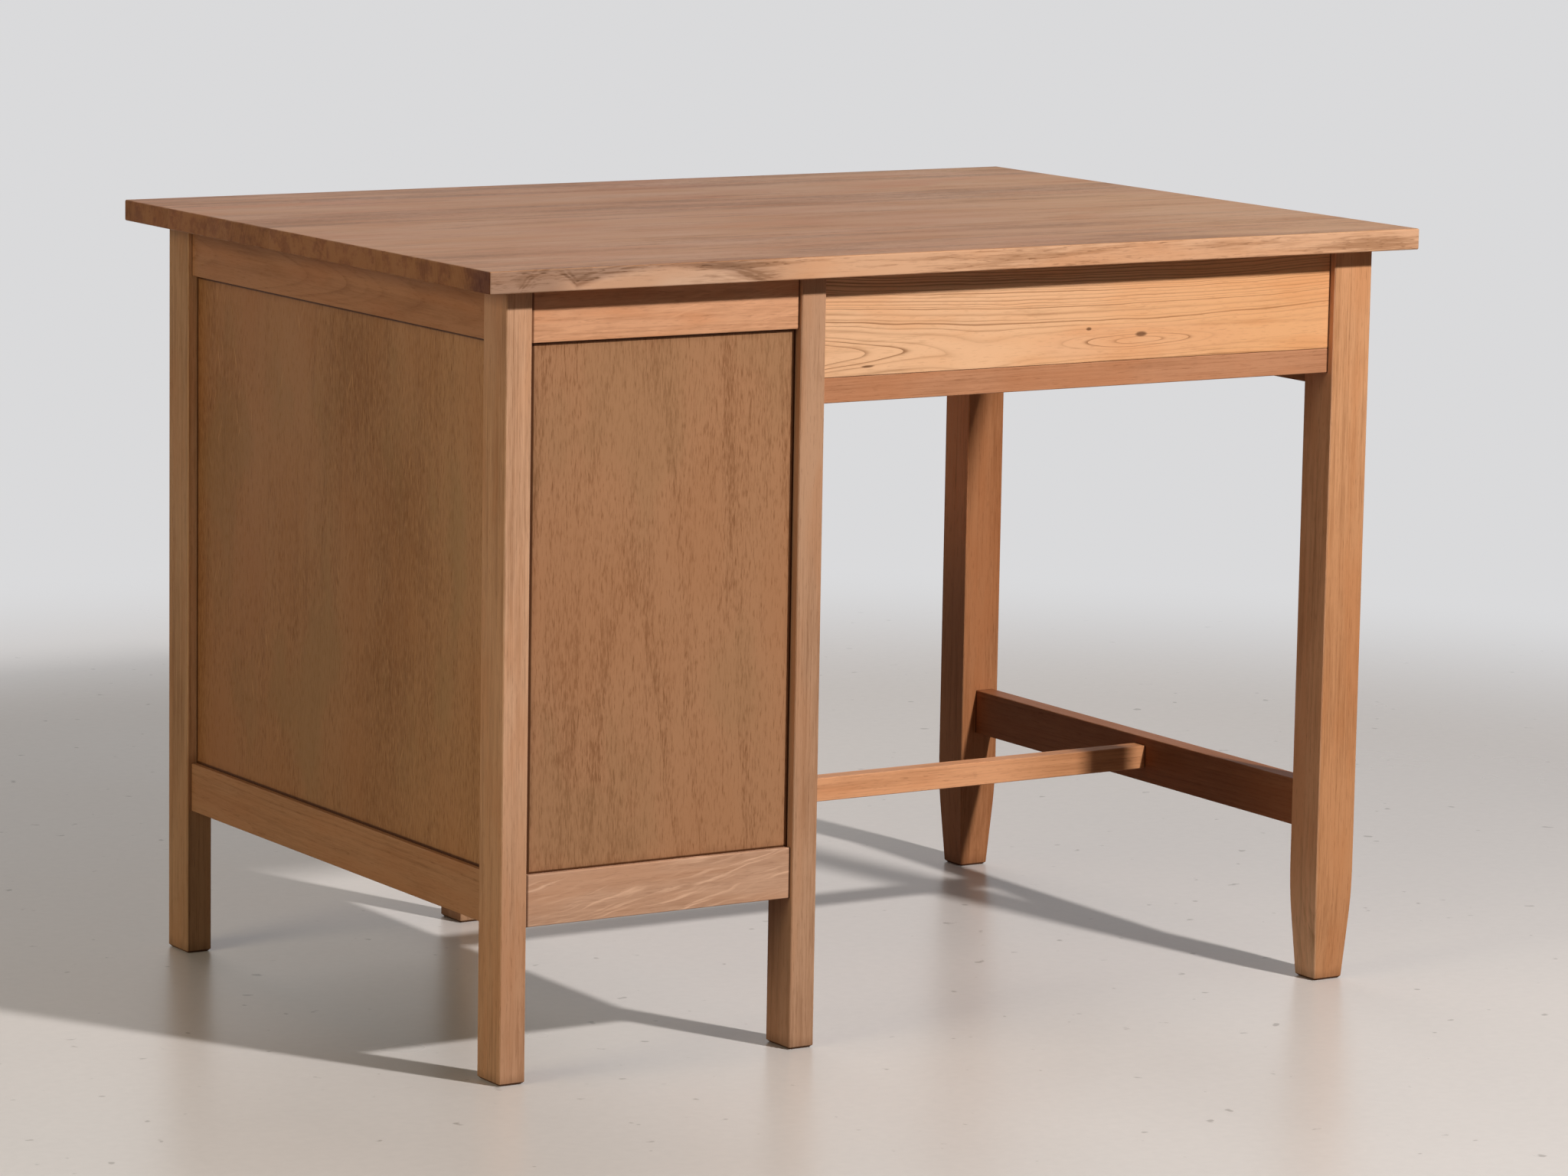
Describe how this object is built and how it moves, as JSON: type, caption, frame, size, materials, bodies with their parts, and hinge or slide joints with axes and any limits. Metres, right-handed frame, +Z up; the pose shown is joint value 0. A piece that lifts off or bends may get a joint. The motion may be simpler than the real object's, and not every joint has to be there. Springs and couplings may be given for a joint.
{
  "type": "pedestal desk",
  "caption": "Wooden writing desk with a framed drawer pedestal at one end, a wide kneehole drawer, two tapered legs joined by a stretcher, and an overhanging flat top",
  "frame": {"origin": "On the floor, under the middle of the desk top.", "axes": "+X points along the desk to the pedestal end, +Y to the back of the desk, away from the sitter, and +Z up."},
  "size_m": [1.037, 0.738, 0.75],
  "materials": {
    "rail_oak": "oiled oak, satin",
    "panel_plywood": "oak veneered plywood, oiled",
    "top_oak": "oiled oak boards, satin",
    "drawer_back_beech": "planed beech, unfinished",
    "drawer_bottom_plywood": "birch plywood, unfinished",
    "drawer_front_oak": "oiled oak, satin",
    "knob_oak": "turned oak, oiled",
    "drawer_side_beech": "planed beech, unfinished",
    "running_gear_beech": "planed beech, waxed",
    "cross_rail_oak": "oiled oak, satin",
    "board_oak": "oiled oak, satin",
    "upright_oak": "oiled oak, satin",
    "screw_steel": "bright steel wood screws"
  },
  "bodies": {
    "desk_frame": {"back_bottom_rail": "rail_oak", "back_panel": "panel_plywood", "back_top_rail": "rail_oak", "desk_top": "top_oak", "drawer_divider_1": "rail_oak", "drawer_divider_2": "rail_oak", "drawer_divider_3": "rail_oak", "drawer_guides": "running_gear_beech", "drawer_runners": "running_gear_beech", "drawer_stops": "running_gear_beech", "end_stretcher": "cross_rail_oak", "inner_side_bottom_rail": "cross_rail_oak", "inner_side_panel": "panel_plywood", "inner_side_top_rail": "cross_rail_oak", "knee_back_board": "board_oak", "knee_back_rail": "rail_oak", "knee_end_apron": "cross_rail_oak", "knee_front_bottom_rail": "rail_oak", "knee_front_top_rail": "rail_oak", "middle_stretcher": "rail_oak", "outer_side_bottom_rail": "cross_rail_oak", "outer_side_panel": "panel_plywood", "outer_side_top_rail": "cross_rail_oak", "pedestal_front_bottom_rail": "rail_oak", "pedestal_front_top_rail": "rail_oak", "pedestal_stile_back_inner": "upright_oak", "pedestal_stile_back_outer": "upright_oak", "pedestal_stile_front_inner": "upright_oak", "pedestal_stile_front_outer": "upright_oak", "tapered_leg_back": "upright_oak", "tapered_leg_front": "upright_oak", "top_buttons": "running_gear_beech", "top_kickers": "running_gear_beech", "top_screws": "screw_steel"},
    "drawer_1_body": {"drawer_1_back": "drawer_back_beech", "drawer_1_bottom": "drawer_bottom_plywood", "drawer_1_front": "drawer_front_oak", "drawer_1_knob": "knob_oak", "drawer_1_sides": "drawer_side_beech"},
    "drawer_2_body": {"drawer_2_back": "drawer_back_beech", "drawer_2_bottom": "drawer_bottom_plywood", "drawer_2_front": "drawer_front_oak", "drawer_2_knob": "knob_oak", "drawer_2_sides": "drawer_side_beech"},
    "drawer_3_body": {"drawer_3_back": "drawer_back_beech", "drawer_3_bottom": "drawer_bottom_plywood", "drawer_3_front": "drawer_front_oak", "drawer_3_knob": "knob_oak", "drawer_3_sides": "drawer_side_beech"},
    "drawer_4_body": {"drawer_4_back": "drawer_back_beech", "drawer_4_bottom": "drawer_bottom_plywood", "drawer_4_front": "drawer_front_oak", "drawer_4_knob": "knob_oak", "drawer_4_sides": "drawer_side_beech"},
    "knee_drawer_body": {"knee_drawer_back": "drawer_back_beech", "knee_drawer_bottom": "drawer_bottom_plywood", "knee_drawer_front": "drawer_front_oak", "knee_drawer_knob": "knob_oak", "knee_drawer_sides": "drawer_side_beech"}
  },
  "joints": [
    {"name": "drawer_1_slide", "type": "slide", "parent": "desk_frame", "child": "drawer_1_body", "axis": [0, -1, 0], "range_m": [0, 0.4]},
    {"name": "drawer_2_slide", "type": "slide", "parent": "desk_frame", "child": "drawer_2_body", "axis": [0, -1, 0], "range_m": [0, 0.4]},
    {"name": "drawer_3_slide", "type": "slide", "parent": "desk_frame", "child": "drawer_3_body", "axis": [0, -1, 0], "range_m": [0, 0.4]},
    {"name": "drawer_4_slide", "type": "slide", "parent": "desk_frame", "child": "drawer_4_body", "axis": [0, -1, 0], "range_m": [0, 0.4]},
    {"name": "knee_drawer_slide", "type": "slide", "parent": "desk_frame", "child": "knee_drawer_body", "axis": [0, -1, 0], "range_m": [0, 0.4]}
  ]
}
